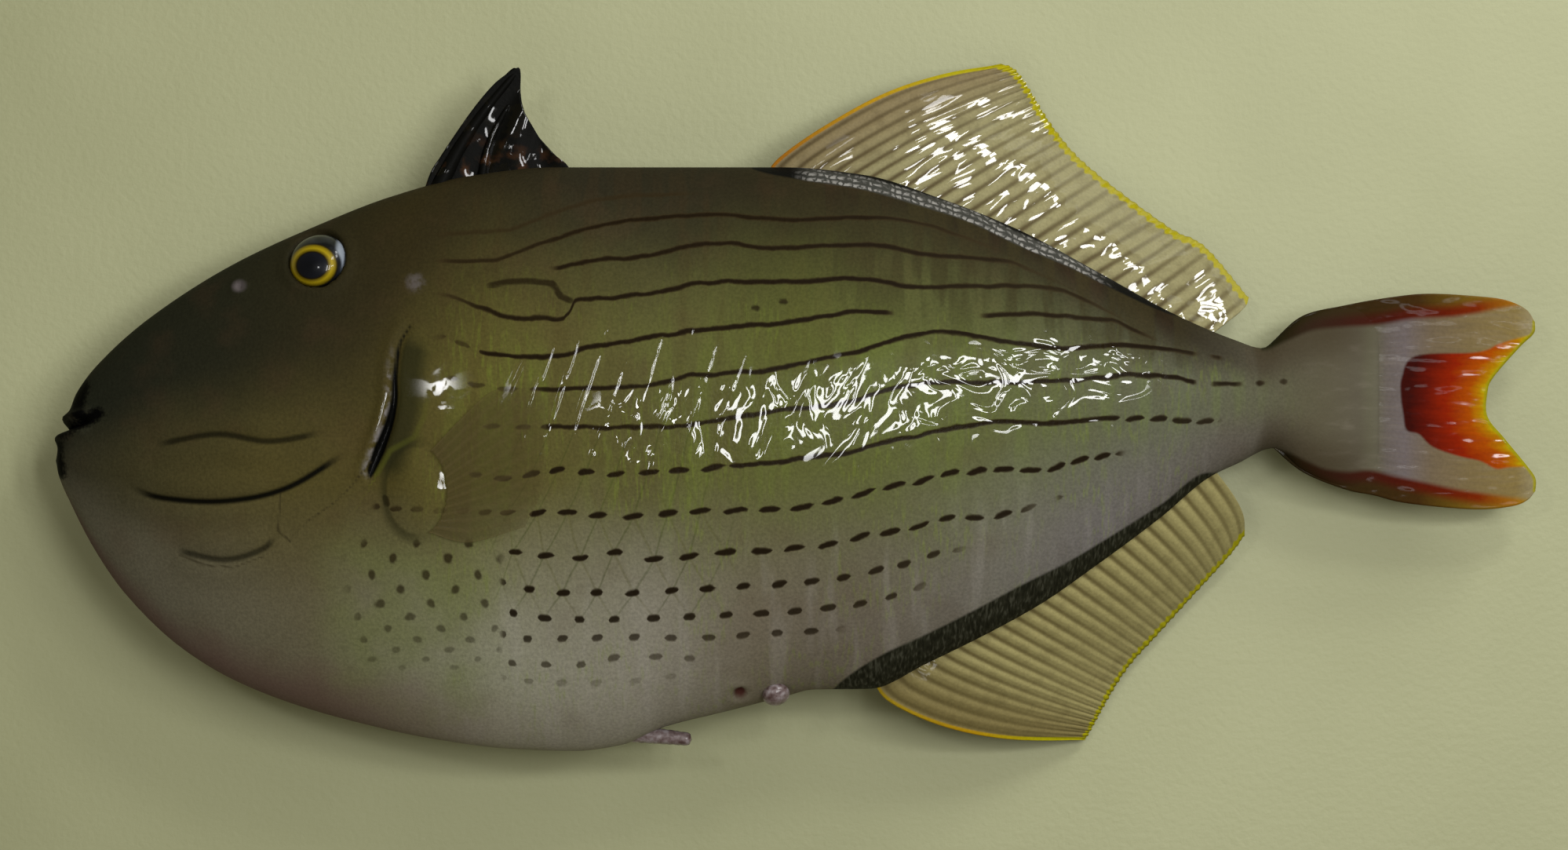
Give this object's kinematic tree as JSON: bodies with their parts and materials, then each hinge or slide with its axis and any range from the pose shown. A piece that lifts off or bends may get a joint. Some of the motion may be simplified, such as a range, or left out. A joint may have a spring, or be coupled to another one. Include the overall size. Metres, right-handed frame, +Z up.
{
  "type": "lined triggerfish",
  "caption": "Life-size triggerfish lying on its right flank, with an erect spiny dorsal fin, rayed soft fins and a notched tail fin.",
  "frame": {"origin": "on the floor under the middle of the whole fish's box", "axes": "+X from the nose to the tail, +Y towards the fish's back, +Z up through its left flank"},
  "size_m": [0.2622, 0.1223, 0.038],
  "materials": {
    "head_skin": "wet olive-brown skin",
    "flank_skin": "wet olive-green skin with dark lines and spots",
    "stem_skin": "wet grey skin",
    "tail_fin": "wet fin with a red and yellow crescent",
    "spine_fin": "glossy black spines and web",
    "soft_fin": "wet beige fin with brown rays and yellow edge",
    "pale_skin": "moist pink skin",
    "eye": "clear wet surface over a yellow iris"
  },
  "bodies": {
    "root": {"head": "head_skin", "trunk": "flank_skin", "tail_stem": "stem_skin", "caudal_fin": "tail_fin", "first_dorsal_fin": "spine_fin", "second_dorsal_fin": "soft_fin", "anal_fin": "soft_fin", "pectoral_fin_left": "soft_fin", "pectoral_fin_right": "soft_fin", "pelvic_spine": "spine_fin", "anal_papilla": "pale_skin", "eye_left": "eye", "eye_right": "eye"}
  },
  "joints": []
}
